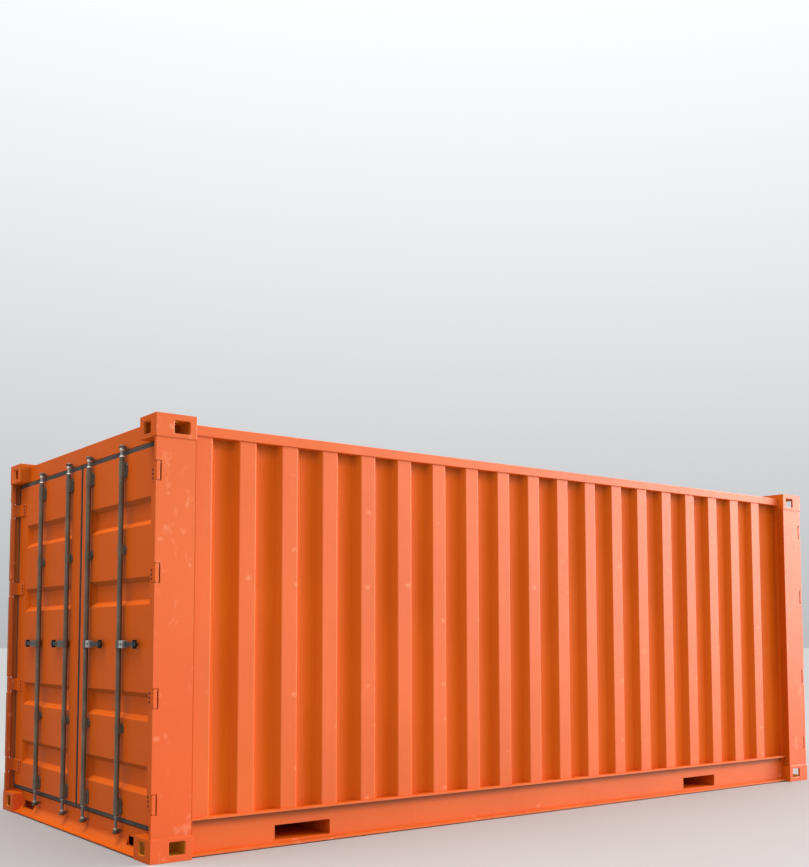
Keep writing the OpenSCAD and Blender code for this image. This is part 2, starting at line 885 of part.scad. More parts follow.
module locking_bar_left_inner() {
    color(dark_steel) locking_bar(bar_vs[1]);
}

module locking_bar_right_inner() {
    color(dark_steel) mirror([0, 1, 0]) locking_bar(bar_vs[1]);
}

module locking_bar_right_outer() {
    color(dark_steel) mirror([0, 1, 0]) locking_bar(bar_vs[0]);
}

// Forged disc with a nose that points at the frame, tapered on its outer side
module cam() {
    flat_h = cam_h - cam_taper;
    cylinder(r = cam_r, h = flat_h);
    translate([0, 0, flat_h]) cylinder(r1 = cam_r, r2 = cam_r - cam_taper, h = cam_taper);
    translate([0, -bar_neck_r, 0]) cube([cam_nose, 2 * bar_neck_r, flat_h]);
}

module bar_cams(v) {
    left_corner() translate([bar_u, -v, 0]) {
        translate([0, 0, cam_z1]) cam();
        translate([0, 0, cam_z0]) mirror([0, 0, 1]) cam();
    }
}

module bar_cams_left_outer() {
    color(dark_steel) bar_cams(bar_vs[0]);
}

module bar_cams_left_inner() {
    color(dark_steel) bar_cams(bar_vs[1]);
}

module bar_cams_right_inner() {
    color(dark_steel) mirror([0, 1, 0]) bar_cams(bar_vs[1]);
}

module bar_cams_right_outer() {
    color(dark_steel) mirror([0, 1, 0]) bar_cams(bar_vs[0]);
}

module far_locking_bars() {
    color(dark_steel) far_end() both_sides() for (v = bar_vs) {
        locking_bar(v);
        bar_cams(v);
    }
}

// Hub clamped on the bar, a round-ended grip towards the hinges, and a stop plate near its end
module handle(v) {
    hub_z = [handle_z - hub_h / 2, handle_z + hub_h / 2];
    tip_v = v - handle_l + grip_h / 2;
    catch_v = v - handle_l + catch_inset;
    left_corner() difference() {
        union() {
            post_round(bar_u, v, hub_z, bar_r + hub_t);
            block([bar_u - bar_r - hub_t, bar_u + hub_back], [v - hub_l, v], hub_z);
            block([bar_u - grip_t / 2, bar_u + grip_t / 2], [tip_v, v - hub_l],
                  [handle_z - grip_h / 2, handle_z + grip_h / 2]);
            along([bar_u - grip_t / 2, bar_u + grip_t / 2]) translate([-tip_v, handle_z]) circle(grip_h / 2);
            block([bar_u - grip_t / 2 - catch_proud, bar_u + grip_t / 2 + catch_proud],
                  [catch_v - catch_w / 2, catch_v + catch_w / 2],
                  [handle_z - catch_h / 2, handle_z + catch_h / 2]);
        }
        post_round(bar_u, v, [handle_z - hub_h, handle_z + hub_h], bar_r + hub_fit);
    }
}

module handle_left_outer() {
    color(grey_steel) handle(bar_vs[0]);
}

module handle_left_inner() {
    color(grey_steel) handle(bar_vs[1]);
}

module handle_right_inner() {
    color(grey_steel) mirror([0, 1, 0]) handle(bar_vs[1]);
}

module handle_right_outer() {
    color(grey_steel) mirror([0, 1, 0]) handle(bar_vs[0]);
}

module far_handles() {
    color(grey_steel) far_end() both_sides() for (v = bar_vs) handle(v);
}

bottom_corner_fittings();
top_corner_fittings();
door_end_posts();
far_end_posts();
door_header();
far_header();
door_sill();
far_sill();
top_side_rails();
bottom_side_rails();
fork_pocket_mouths();
fork_pockets();
cross_members();
floor();
left_side_wall();
right_side_wall();
roof();
hinge_pins();
bar_keepers();
left_door();
left_door_seal();
left_door_hinges();
left_bar_guides();
right_door();
right_door_seal();
right_door_hinges();
right_bar_guides();
locking_bar_left_outer();
locking_bar_left_inner();
locking_bar_right_inner();
locking_bar_right_outer();
bar_cams_left_outer();
bar_cams_left_inner();
bar_cams_right_inner();
bar_cams_right_outer();
handle_left_outer();
handle_left_inner();
handle_right_inner();
handle_right_outer();
far_doors();
far_door_seals();
far_door_hinges();
far_bar_guides();
far_locking_bars();
far_handles();
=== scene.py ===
"""Dresses the freight container: worn orange paint, dark locking gear, gaskets, plywood floor, studio."""

import json
import math
import random

import bmesh
import bpy
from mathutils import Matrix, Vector
from mathutils.bvhtree import BVHTree


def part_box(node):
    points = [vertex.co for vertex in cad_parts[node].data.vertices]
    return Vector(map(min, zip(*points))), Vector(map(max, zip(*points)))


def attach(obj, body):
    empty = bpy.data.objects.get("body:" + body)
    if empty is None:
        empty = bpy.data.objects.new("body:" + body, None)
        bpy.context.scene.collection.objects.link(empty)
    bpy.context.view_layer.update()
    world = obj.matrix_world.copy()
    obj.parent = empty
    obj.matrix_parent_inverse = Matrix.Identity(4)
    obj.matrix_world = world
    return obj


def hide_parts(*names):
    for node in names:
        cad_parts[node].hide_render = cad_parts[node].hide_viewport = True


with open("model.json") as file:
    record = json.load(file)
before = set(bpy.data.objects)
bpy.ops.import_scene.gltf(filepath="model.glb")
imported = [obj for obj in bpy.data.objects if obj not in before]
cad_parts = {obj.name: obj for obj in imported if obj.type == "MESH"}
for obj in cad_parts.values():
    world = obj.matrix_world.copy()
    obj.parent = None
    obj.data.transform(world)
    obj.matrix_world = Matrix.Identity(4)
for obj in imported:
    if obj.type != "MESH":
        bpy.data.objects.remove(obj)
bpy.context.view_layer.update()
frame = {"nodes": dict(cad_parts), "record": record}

NODES = frame["nodes"]
BODIES = frame["record"]["behaviour"]["bodies"]

# The photograph's frame and the camera that took it, in pixels, metres and degrees
PHOTO_W, PHOTO_H = 809, 867
FOCAL_PX = 1106
PRINCIPAL_X, PRINCIPAL_Y = 380.0, 559.3
SENSOR = 36
CAMERA_AT = Vector((-5.587, -6.746, 1.197))
CAMERA_AZIMUTH, CAMERA_RISE = 53.59, 4.13

# Towards the key light: well round to the far end, a little in front of the wall, low in the sky
KEY_WAY = Vector((0.911, -0.244, 0.334))

# Light of the room at the horizon, and its gain towards the far end and overhead
ROOM_LEVEL = 0.48
ROOM_LEAN = (0.06, 0.0, 1.0)

# Heights of a locking bar's slim necks and of the handles, how far from its bar a handle's oiled sleeve and
# bright hub reach, the bars' distances from the middle, and that of the rusty hinge bolts, in metres
NECKS = ((0.110, 0.188), (2.260, 2.309))
GRIP_BAND = (1.1, 1.25)
SLEEVE_REACH = 0.042
HUB_REACH = 0.092
BAR_INNER, BAR_OUTER = 0.172, 0.675
RUST_Y = 0.95

# Bounds of the paint's zones in metres: where the corner posts and the ends begin, the posts' lips outside
# the doors, their height between the fittings, the top fittings' lower edge, the walls from valley to flat,
# the rails' web, its shaded top, the eaves and the roof
POST_X = 2.78
END_X = 2.85
LIP_Y = 1.19
POST_Z = (0.13, 2.308)
TOP_FITTING_Z = (2.30, 2.31)
WALL_Y = (1.125, 1.155)
WEB_Z = (0.03, 0.195)
LEDGE_Z = (0.142, 0.2015)
EAVES_Z = (2.26, 2.342)
ROOF_Z = (2.2, 2.3)

# Band of painted shade between a post and the wall, and the hollows of the bottom and top fittings,
# in metres from the middle planes and the ground, with how much painted light goes into each
SEAM_SHADE_X = (2.772, 2.786)
HOLLOW_X = (2.787, 3.021)
HOLLOW_Y = (1.015, 1.211)
HOLLOW_Z = (0.008, 0.122), (2.316, 2.430)
HOLLOW_LIGHT = 1.0, 0.5

# Step of the pale spots along and up the walls with their shift in steps, the part of one valley that gets
# painted light, where the fixed gaskets of the far doors meet, and the door leaf inside its gasket
SPOT_STEP = (0.287, 0.215)
SPOT_SHIFT = (0.46, 0.0, 0.0)
VALLEY_X = (-2.620, -2.540)
MEETING_Y = 0.0005
LEAF_Y = (0.017, 1.171)
LEAF_Z = (0.178, 2.276)

# Bolts by radius and height, in metres: on a hinge blade, with their lifts and distance from its free end,
# on the feet of a bar guide, with the same from its sides, and in a hub, by their distances from the bar
BLADE_BOLT, BLADE_LIFTS, BLADE_INSET = (0.0055, 0.005), (-0.024, 0.0, 0.024), 0.014
FOOT_BOLT, FOOT_LIFTS, FOOT_INSET = (0.0038, 0.004), (-0.026, 0.026), 0.0058
HUB_BOLT, HUB_BOLTS_AT = (0.0055, 0.0045), (0.036, 0.074)
LONG_GUIDE = 0.06


class Graph:
    """A node material that is built step by step from a principled shader."""

    def __init__(self, name, **constants):
        self.material = bpy.data.materials.new(name)
        self.material.use_nodes = True
        self.tree = self.material.node_tree
        self.tree.nodes.clear()
        self.shader = self.node("ShaderNodeBsdfPrincipled")
        output = self.node("ShaderNodeOutputMaterial")
        self.tree.links.new(self.shader.outputs[0], output.inputs["Surface"])
        for socket, value in constants.items():
            self.shader.inputs[socket.replace("_", " ")].default_value = value
        self.place = self.node("ShaderNodeTexCoord").outputs["Object"]

    def node(self, kind, **settings):
        made = self.tree.nodes.new(kind)
        for key, value in settings.items():
            setattr(made, key, value)
        return made

    def feed(self, socket, value):
        """Links an output to a socket, or sets the socket to a constant."""
        if isinstance(value, bpy.types.NodeSocket):
            self.tree.links.new(value, socket)
        else:
            socket.default_value = value

    def set(self, socket, value):
        self.feed(self.shader.inputs[socket], value)

    def stretched(self, x, y, z, shift=(0.0, 0.0, 0.0)):
        """Coordinates scaled along each axis and then shifted, for streaks and rows."""
        made = self.node("ShaderNodeVectorMath", operation="MULTIPLY_ADD")
        self.feed(made.inputs[0], self.place)
        made.inputs[1].default_value = (x, y, z)
        made.inputs[2].default_value = shift
        return made.outputs[0]

    def axis(self, letter):
        made = self.node("ShaderNodeSeparateXYZ")
        self.feed(made.inputs[0], self.place)
        return made.outputs[letter]

    def noise(self, scale, detail=4.0, rough=0.5, place=None):
        made = self.node("ShaderNodeTexNoise")
        self.feed(made.inputs["Vector"], place or self.place)
        made.inputs["Scale"].default_value = scale
        made.inputs["Detail"].default_value = detail
        made.inputs["Roughness"].default_value = rough
        return made.outputs["Fac"]

    def cells(self, place, randomness):
        """Distance to the nearest point of a loose grid."""
        made = self.node("ShaderNodeTexVoronoi")
        self.feed(made.inputs["Vector"], place)
        made.inputs["Scale"].default_value = 1.0
        made.inputs["Randomness"].default_value = randomness
        return made.outputs["Distance"]

    def span(self, value, low, high, start=0.0, end=1.0):
        """Takes low..high smoothly to start..end."""
        made = self.node("ShaderNodeMapRange", interpolation_type="SMOOTHSTEP")
        for socket, given in zip(made.inputs, (value, low, high, start, end)):
            self.feed(socket, given)
        return made.outputs[0]

    def math(self, operation, a, b=0.0):
        made = self.node("ShaderNodeMath", operation=operation)
        self.feed(made.inputs[0], a)
        self.feed(made.inputs[1], b)
        return made.outputs[0]

    def times(self, *values):
        product = values[0]
        for value in values[1:]:
            product = self.math("MULTIPLY", product, value)
        return product

    def most(self, *values):
        largest = values[0]
        for value in values[1:]:
            largest = self.math("MAXIMUM", largest, value)
        return largest

    def mix(self, amount, a, b):
        """Blends two colours."""
        made = self.node("ShaderNodeMix", data_type="RGBA")
        self.feed(made.inputs["Factor"], amount)
        for socket, colour in zip(made.inputs[6:8], (a, b)):
            self.feed(socket, colour if isinstance(colour, bpy.types.NodeSocket) else (*colour, 1.0))
        return made.outputs[2]

    def facing(self, letter):
        """How far the surface looks along an axis of the closed container."""
        turned = self.node("ShaderNodeVectorTransform", vector_type="NORMAL", convert_to="OBJECT")
        self.feed(turned.inputs[0], self.node("ShaderNodeNewGeometry").outputs["True Normal"])
        made = self.node("ShaderNodeSeparateXYZ")
        self.feed(made.inputs[0], turned.outputs[0])
        return made.outputs[letter]

    def between(self, value, low, high):
        """One where a value is between two bounds, and zero elsewhere."""
        made = self.math("COMPARE", value, (low + high) / 2)
        made.node.inputs[2].default_value = (high - low) / 2
        return made

    def within(self, letter, low, high):
        """One between two planes across an axis, and zero elsewhere."""
        return self.between(self.axis(letter), low, high)

    def edges(self, radius):
        """Rises to one along the arrises, where a rounded normal leaves the true one."""
        rounded = self.node("ShaderNodeBevel", samples=4)
        rounded.inputs["Radius"].default_value = radius
        true = self.node("ShaderNodeNewGeometry")
        turn = self.node("ShaderNodeVectorMath", operation="DOT_PRODUCT")
        self.feed(turn.inputs[0], rounded.outputs[0])
        self.feed(turn.inputs[1], true.outputs["Normal"])
        return self.span(turn.outputs["Value"], 0.80, 0.99, 1.0, 0.0)

    def corners(self, reach):
        """Rises to one in inner corners, where shade is painted."""
        made = self.node("ShaderNodeAmbientOcclusion", samples=6)
        made.inputs["Distance"].default_value = reach
        return self.span(made.outputs["AO"], 0.25, 0.85, 1.0, 0.0)

    def bump(self, height, strength, depth):
        made = self.node("ShaderNodeBump")
        made.inputs["Strength"].default_value = strength
        made.inputs["Distance"].default_value = depth
        self.feed(made.inputs["Height"], height)
        self.set("Normal", made.outputs[0])


class Zones:
    """Distances, facings and parts that the container's paint goes by."""

    def __init__(self, g):
        self.height = g.axis("Z")
        self.out = g.math("ABSOLUTE", g.axis("Y"))
        self.far = g.math("ABSOLUTE", g.axis("X"))
        self.across = g.math("ABSOLUTE", g.facing("Y"))
        self.along = g.facing("X")
        self.upward = g.facing("Z")
        self.runs = g.noise(1.0, 5, 0.6, g.stretched(9, 9, 0.6))
        self.on_post = g.math("GREATER_THAN", self.far, POST_X)
        self.on_wall = g.math("LESS_THAN", self.far, POST_X)
        self.at_end = g.math("GREATER_THAN", self.far, END_X)
        self.inboard = g.math("LESS_THAN", self.far, END_X)
        self.up_post = g.within("Z", *POST_Z)
        self.sideways = g.math("GREATER_THAN", self.across, 0.8)
        self.endways = g.times(self.at_end, g.span(g.math("ABSOLUTE", self.along), 0.48, 0.52))
        self.sunk = g.span(self.out, *WALL_Y, 1.0, 0.0)
        self.raised = g.times(self.sideways, g.most(g.span(self.out, *WALL_Y), g.within("Z", *WEB_Z)))
        proud = g.math("GREATER_THAN", self.out, WALL_Y[1])
        # Painted shade along the seam beside each post
        self.seam_shade = g.times(g.between(self.far, *SEAM_SHADE_X), proud, self.up_post)
        # Hollows of the fittings, which get painted light
        inside = g.times(g.between(self.far, *HOLLOW_X), g.between(self.out, *HOLLOW_Y))
        bands = (g.times(g.within("Z", *z), light_share) for z, light_share in zip(HOLLOW_Z, HOLLOW_LIGHT))
        self.hollow_light = g.times(inside, g.most(*bands))


def side_tints(g, at, base):
    """Chalky paint and painted sheen on raised faces, red post feet, painted shade on flanks and light in
    valleys.
    """
    chalk_and_sheen, red = (0.84, 0.162, 0.050), (0.80, 0.085, 0.012)
    shade_olive, shade_ruddy = (0.66, 0.134, 0.010), (0.54, 0.072, 0.016)
    # Pale on the raised faces, more higher up: partly chalky paint, partly a painted sheen
    base = g.mix(g.times(at.raised, g.span(at.height, 0.1, 1.2, 0.25, 0.4)), base, chalk_and_sheen)
    base = g.mix(g.times(at.sideways, at.on_post, g.span(at.height, 0.1, 2.0, 0.5, 0.0)), base, red)
    # Painted shade by facing: greenish-brown on faces towards the working doors, redder on those towards the
    # far end
    base = g.mix(g.times(at.inboard, g.span(at.along, -0.7, -0.5, 0.6, 0.0)), base, shade_olive)
    base = g.mix(g.times(at.inboard, g.span(at.along, 0.5, 0.7, 0.0, 0.7)), base, shade_ruddy)
    # Painted light on the left part of each valley above the rails' ledge, in the same pale colour
    step = g.math("FRACT", g.math("DIVIDE", g.math("SUBTRACT", g.axis("X"), VALLEY_X[0]), SPOT_STEP[0]))
    lit = g.span(step, 0.0, (VALLEY_X[1] - VALLEY_X[0]) / SPOT_STEP[0], 0.5, 0.0)
    above = g.math("GREATER_THAN", at.height, LEDGE_Z[1])
    return g.mix(g.times(at.sideways, at.sunk, at.on_wall, lit, above), base, chalk_and_sheen)


def end_tints(g, at, base):
    """Painted shade at the ends and beside the posts, dust on the roof, painted light in the fittings."""
    shaded, dusty, primer_light = (0.40, 0.058, 0.002), (0.40, 0.115, 0.035), (0.86, 0.44, 0.05)
    # Painted shade: deeper paint on the end faces, less where they look up, more at the far end
    base = g.mix(g.times(at.endways, g.span(at.upward, 0.3, 0.6, 0.55, 0.15)), base, shaded)
    base = g.mix(g.times(at.endways, g.math("GREATER_THAN", g.axis("X"), 0.0), 0.5), base, shaded)
    roof = g.times(g.span(at.upward, 0.6, 0.9), g.span(at.height, *ROOF_Z))
    base = g.mix(g.times(roof, g.span(at.runs, 0.3, 0.7, 0.35, 0.65)), base, dusty)
    # Painted shade along the seam beside each post
    base = g.mix(g.times(at.seam_shade, 0.6), base, shaded)
    # Painted light in the fittings' hollows, a pale yellow-orange
    return g.mix(at.hollow_light, base, primer_light)


def painted_shade_places(g, at):
    """Painted shade under slopes, in the posts' jambs and on their lips, at the rails' ledge and below the
    eaves.
    """
    under = g.times(at.endways, g.span(at.upward, -0.6, -0.3, 0.6, 0.0))
    inward = g.math("LESS_THAN", g.times(g.facing("Y"), g.axis("Y")), -LIP_Y)
    jambs = g.times(inward, at.at_end, at.up_post, 0.6)
    lips = g.times(at.endways, g.math("GREATER_THAN", g.axis("Y"), LIP_Y), at.up_post, 0.9)
    ledge = g.times(at.sideways, g.within("Z", *LEDGE_Z), g.span(at.height, *LEDGE_Z), at.on_wall, 0.95)
    eaves = g.times(g.span(at.across, 0.5, 0.6), at.sunk, g.span(at.height, *EAVES_Z, 0.0, 0.6))
    return g.most(under, lips, jambs, ledge, eaves)


def pale_places(g, at):
    """Rows of spots on the walls, scuffs on the posts, and wear along the arrises that is partly a painted
    highlight.
    """
    rows = g.cells(g.stretched(1 / SPOT_STEP[0], 0, 1 / SPOT_STEP[1], SPOT_SHIFT), 0.25)
    spots = g.times(g.span(rows, 0.03, 0.10, 1.0, 0.0), g.span(g.noise(90, 4, 0.7), 0.34, 0.54))
    strokes = g.noise(1.0, 6, 0.62, g.stretched(13, 13, 9))
    scuffs = g.times(at.on_post, g.span(strokes, 0.57, 0.70))
    worn = g.times(at.sideways, g.most(g.times(spots, 0.45), g.times(scuffs, 0.30)))
    exposed = g.math("SUBTRACT", 1.0, g.most(g.within("Z", *WEB_Z), at.seam_shade))
    # Wear along the arrises, its pale pink partly a painted edge highlight
    rubs_and_glints = g.times(g.edges(0.004), g.span(g.noise(6, 5, 0.6), 0.42, 0.66), exposed, 0.5)
    return g.most(worn, rubs_and_glints)


def container_paint():
    """Orange, chalky and scuffed on the sides with painted sheen; painted shade at the ends, under ledges
    and in corners.
    """
    g = Graph("container_paint")
    at = Zones(g)
    fresh, deep, faded = (0.76, 0.126, 0.006), (0.68, 0.107, 0.004), (0.79, 0.150, 0.014)
    pale_and_glint, shade_colour = (0.93, 0.36, 0.19), (0.28, 0.078, 0.010)
    grain = g.noise(38, 5, 0.6)
    base = g.mix(g.span(g.noise(0.8, 3), 0.35, 0.65), deep, fresh)
    base = g.mix(g.span(at.runs, 0.52, 0.76, 0.0, 0.5), base, faded)
    base = end_tints(g, at, side_tints(g, at, base))
    # Painted shade under slopes, on the posts' lips and jambs, at the ledge and below the eaves
    base = g.mix(painted_shade_places(g, at), base, shade_colour)
    pale = pale_places(g, at)
    # Painted shade in inner corners, more higher up, less at the top fittings, none in the fittings' hollows
    corner_shade = g.times(g.corners(0.10), g.span(grain, 0.25, 0.7, 0.30, 0.60))
    corner_shade = g.times(corner_shade, g.span(at.height, 0.4, 1.8, 0.1, 1.0), g.span(at.height, *TOP_FITTING_Z, 1.0, 0.3))
    corner_shade = g.times(corner_shade, g.math("SUBTRACT", 1.0, at.hollow_light))
    g.set("Base Color", g.mix(corner_shade, g.mix(pale, base, pale_and_glint), shade_colour))
    g.set("Specular IOR Level", g.span(g.math("SUBTRACT", at.raised, at.seam_shade), 0.0, 1.0, 0.05, 0.42))
    g.set("Roughness", g.math("ADD", g.span(grain, 0.3, 0.7, 0.40, 0.50), g.times(pale, 0.15)))
    waves = g.math("ADD", g.noise(2.2, 2), g.times(grain, 0.04))
    g.bump(waves, 0.35, 0.012)
    return g.material


def dark_steel():
    """Oiled dark locking gear: a paler neck at each keeper, the upper one a painted highlight, and rusty
    hinge bolts.
    """
    g = Graph("dark_steel")
    oxide, rub, rust = (0.108, 0.086, 0.060), (0.160, 0.132, 0.096), (0.150, 0.014, 0.001)
    necks_and_highlight, bright = ((0.16, 0.155, 0.145), (0.27, 0.27, 0.26)), (0.40, 0.40, 0.39)
    grain = g.noise(60, 5, 0.6)
    base = g.mix(g.span(g.noise(7, 5, 0.65), 0.40, 0.68), oxide, rub)
    # Paler at each neck, the upper one brighter as a painted highlight
    for (low, high), neck in zip(NECKS, necks_and_highlight):
        base = g.mix(g.times(g.within("Z", low, high), g.span(grain, 0.2, 0.5, 0.6, 1.0)), base, neck)
    clean = g.math("LESS_THAN", g.math("ABSOLUTE", g.axis("Y")), RUST_Y)
    base = g.mix(clean, rust, base)
    wear = g.times(g.edges(0.0015), g.span(grain, 0.35, 0.6), clean, 0.35)
    g.set("Metallic", g.times(clean, 0.3))
    # Painted shade in inner corners
    corner_shade = g.times(g.corners(0.03), 0.6)
    g.set("Base Color", g.mix(corner_shade, g.mix(wear, base, bright), (0.02, 0.018, 0.015)))
    g.set("Roughness", g.span(grain, 0.3, 0.7, 0.42, 0.62))
    g.bump(grain, 0.2, 0.001)
    return g.material


def galvanised_steel():
    """Zinc hubs and collar rings, the upper a painted glint; oiled sleeves and grips; the left door's
    handles dark.
    """
    g = Graph("galvanised_steel")
    zinc, dull, grip = (0.50, 0.51, 0.52), (0.33, 0.34, 0.35), (0.024, 0.031, 0.031)
    sleeve = (0.108, 0.086, 0.060)
    collar_tones_and_glint = (0.34, 0.32, 0.29), (0.88, 0.84, 0.78)
    grain = g.noise(45, 5, 0.6)
    base = g.mix(g.cells(g.stretched(70, 70, 70), 1.0), zinc, dull)
    across = g.math("ABSOLUTE", g.axis("Y"))
    past_outer = g.math("GREATER_THAN", across, (BAR_INNER + BAR_OUTER) / 2 + 0.1)
    bar = g.math("ADD", g.times(past_outer, BAR_OUTER - BAR_INNER), BAR_INNER)
    reach = g.math("SUBTRACT", across, bar)
    held = g.math("GREATER_THAN", reach, HUB_REACH + 0.001)
    # All of the left door's handles take the grips' dark colour
    left = g.times(g.math("GREATER_THAN", g.axis("Y"), 0.0), 0.85)
    handles = g.within("Z", *GRIP_BAND)
    base = g.mix(g.times(g.most(held, left), handles), base, grip)
    base = g.mix(g.times(g.math("LESS_THAN", reach, SLEEVE_REACH), handles), base, sleeve)
    # Collar bands: the upper one near white as a painted glint, the lower one duller
    bands = [g.within("Z", low - 0.012, high + 0.012) for low, high in NECKS]
    for band, collar in zip(bands, collar_tones_and_glint):
        base = g.mix(band, base, collar)
    g.set("Metallic", g.span(g.most(*bands), 0.0, 1.0, 0.6, 0.1))
    # Painted shade in inner corners
    corner_shade = g.times(g.corners(0.03), g.span(grain, 0.3, 0.7, 0.3, 0.8))
    g.set("Base Color", g.mix(corner_shade, base, (0.03, 0.027, 0.022)))
    g.set("Roughness", g.span(grain, 0.3, 0.7, 0.35, 0.55))
    g.bump(grain, 0.2, 0.001)
    return g.material


def rubber_seal():
    """Weathered black rubber with a grey bloom and road dust."""
    g = Graph("rubber_seal", Specular_IOR_Level=0.3)
    bloom = g.span(g.noise(9, 5, 0.65), 0.40, 0.70)
    base = g.mix(bloom, (0.030, 0.029, 0.027), (0.062, 0.060, 0.056))
    dust = g.times(g.span(g.noise(3, 3), 0.50, 0.72), 0.4)
    g.set("Base Color", g.mix(dust, base, (0.11, 0.075, 0.05)))
    g.set("Roughness", g.span(bloom, 0.0, 1.0, 0.62, 0.85))
    g.bump(g.noise(90, 4, 0.6), 0.25, 0.001)
    return g.material


def plywood():
    """Varnished floor boards: grain along the container, scraped pale by cargo."""
    g = Graph("plywood", Specular_IOR_Level=0.35)
    fibres = g.noise(1.0, 7, 0.6, g.stretched(5, 70, 70))
    plies = g.noise(1.0, 3, 0.5, g.stretched(1.2, 9, 9))
    base = g.mix(g.span(fibres, 0.34, 0.68), (0.095, 0.050, 0.024), (0.235, 0.135, 0.066))
    base = g.mix(g.span(plies, 0.35, 0.70, 0.0, 0.6), base, (0.17, 0.088, 0.040))
    scrapes = g.times(g.span(g.noise(1.0, 8, 0.7, g.stretched(2, 34, 34)), 0.60, 0.72), 0.6)
    g.set("Base Color", g.mix(scrapes, base, (0.36, 0.25, 0.15)))
    g.set("Roughness", g.span(fibres, 0.3, 0.7, 0.45, 0.65))
    g.bump(fibres, 0.3, 0.002)
    return g.material


def stage_floor():
    """Plain pale studio floor that fades into the light of the room."""
    g = Graph("stage_floor", Specular_IOR_Level=0.2, Roughness=0.8)
    g.set("Base Color", g.mix(g.noise(0.5, 3), (0.41, 0.41, 0.405), (0.44, 0.44, 0.435)))
    return g.material


def island_boxes(node):
    """Boxes of the separate solids in a node, as (lowest corner, highest corner)."""
    mesh = bmesh.new()
    mesh.from_mesh(NODES[node].data)
    bmesh.ops.remove_doubles(mesh, verts=mesh.verts, dist=1e-5)
    left, boxes = set(mesh.verts), []
    while left:
        edge, solid = [left.pop()], []
        while edge:
            vert = edge.pop()
            solid.append(vert.co.copy())
            near = {link.other_vert(vert) for link in vert.link_edges} & left
            left -= near
            edge.extend(near)
        boxes.append(tuple(Vector(f(p[i] for p in solid) for i in range(3)) for f in (min, max)))
    mesh.free()
    return boxes


def seat(node, y, z, out):
    """Point of a node's surface that is met first from outside the end that faces out."""
    tree = BVHTree.FromObject(NODES[node], bpy.context.evaluated_depsgraph_get())
    start = Vector((out * 5.0, y, z))
    return tree.ray_cast(start, Vector((-out, 0, 0)))[0]


def piece(name, mesh, slot, body, *stands_for, smooth=True):
    """Makes an object of a bmesh that rides on a body and takes the finish of its slot."""
    bmesh.ops.recalc_face_normals(mesh, faces=mesh.faces)
    data = bpy.data.meshes.new(name)
    mesh.to_mesh(data)
    mesh.free()
    made = bpy.data.objects.new(name, data)
    bpy.context.scene.collection.objects.link(made)
    data.materials.append(FINISHES[slot])
    for face in data.polygons:
        face.use_smooth = smooth
    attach(made, body)
    if stands_for:
        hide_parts(*stands_for)
    return made


def skin(mesh, rings, closed=False):
    """Joins rings of points by quads, and caps the ends unless the last ring meets the first."""
    rows = [[mesh.verts.new(point) for point in ring] for ring in rings]
    if not closed:
        mesh.faces.new(rows[0])
        mesh.faces.new(rows[-1])
    pairs = zip(rows, rows[1:] + rows[:1]) if closed else zip(rows, rows[1:])
    for one, two in pairs:
        for i in range(len(one)):
            j = (i + 1) % len(one)
            mesh.faces.new((one[i], one[j], two[j], two[i]))


def bolt(mesh, at, out, radius, height, turn):
    """Hexagon head on a washer, on a face that looks along X."""
    def ring(count, r, lift):
        angles = [turn + 2 * math.pi * i / count for i in range(count)]
        return [at + Vector((out * lift, r * math.cos(a), r * math.sin(a))) for a in angles]

    washer = height * 0.25
    skin(mesh, [ring(18, radius * 1.45, -0.001), ring(18, radius * 1.45, washer * 0.7),
                ring(18, radius * 1.30, washer)])
    skin(mesh, [ring(6, radius, washer * 0.5), ring(6, radius, height * 0.85),
                ring(6, radius * 0.82, height)])


def bolts(name, places, body, radius, height):
    """One piece of many bolt heads; places are (node, y, z, out)."""
    rng = random.Random(name)
    mesh = bmesh.new()
    for node, y, z, out in places:
        bolt(mesh, seat(node, y, z, out), out, radius, height, rng.uniform(0, math.pi / 3))
    return piece(name, mesh, "dark_steel", body, smooth=False)


def blade_places(node, out):
    """Three bolts near the free end of each hinge blade."""
    for low, high in island_boxes(node):
        side = 1 if low.y > 0 else -1
        free = min(abs(low.y), abs(high.y))
        for lift in BLADE_LIFTS:
            yield node, side * (free + BLADE_INSET), (low.z + high.z) / 2 + lift, out


def foot_places(node, out):
    """Bolts on both sides of each bar guide, two a side on the long ones."""
    for low, high in island_boxes(node):
        lifts = FOOT_LIFTS if high.z - low.z > LONG_GUIDE else (0.0,)
        for y in (low.y + FOOT_INSET, high.y - FOOT_INSET):
            for lift in lifts:
                yield node, y, (low.z + high.z) / 2 + lift, out


def collar(mesh, at, radius, half):
    """Bulged ring round an upright neck."""
    steps, around = 6, 24
    rings = []
    for i in range(steps + 1):
        lean = math.pi * (i / steps - 0.5)
        r = radius * (0.72 + 0.28 * math.cos(lean))
        z = at.z + half * math.sin(lean)
        angles = [2 * math.pi * k / around for k in range(around)]
        rings.append([Vector((at.x + r * math.cos(a), at.y + r * math.sin(a), z)) for a in angles])
    skin(mesh, rings)


def bar_collars(name, axes, body):
    """Bright ring at each shoulder of some locking bars, and a bright ball beside each cam."""
    ring_r, ring_half = 0.0135, 0.005
    ball_r, ball_half = 0.0130, 0.009
    mesh = bmesh.new()
    for axis in axes:
        for low, high in NECKS:
            shoulder, keeper = (low, high) if low > axis.z else (high, low)
            seat_z = shoulder + math.copysign(ring_half, keeper - shoulder)
            collar(mesh, Vector((axis.x, axis.y, seat_z)), ring_r, ring_half)
            collar(mesh, Vector((axis.x, axis.y, keeper)), ball_r, ball_half)
    return piece(name, mesh, "galvanised_steel", body)


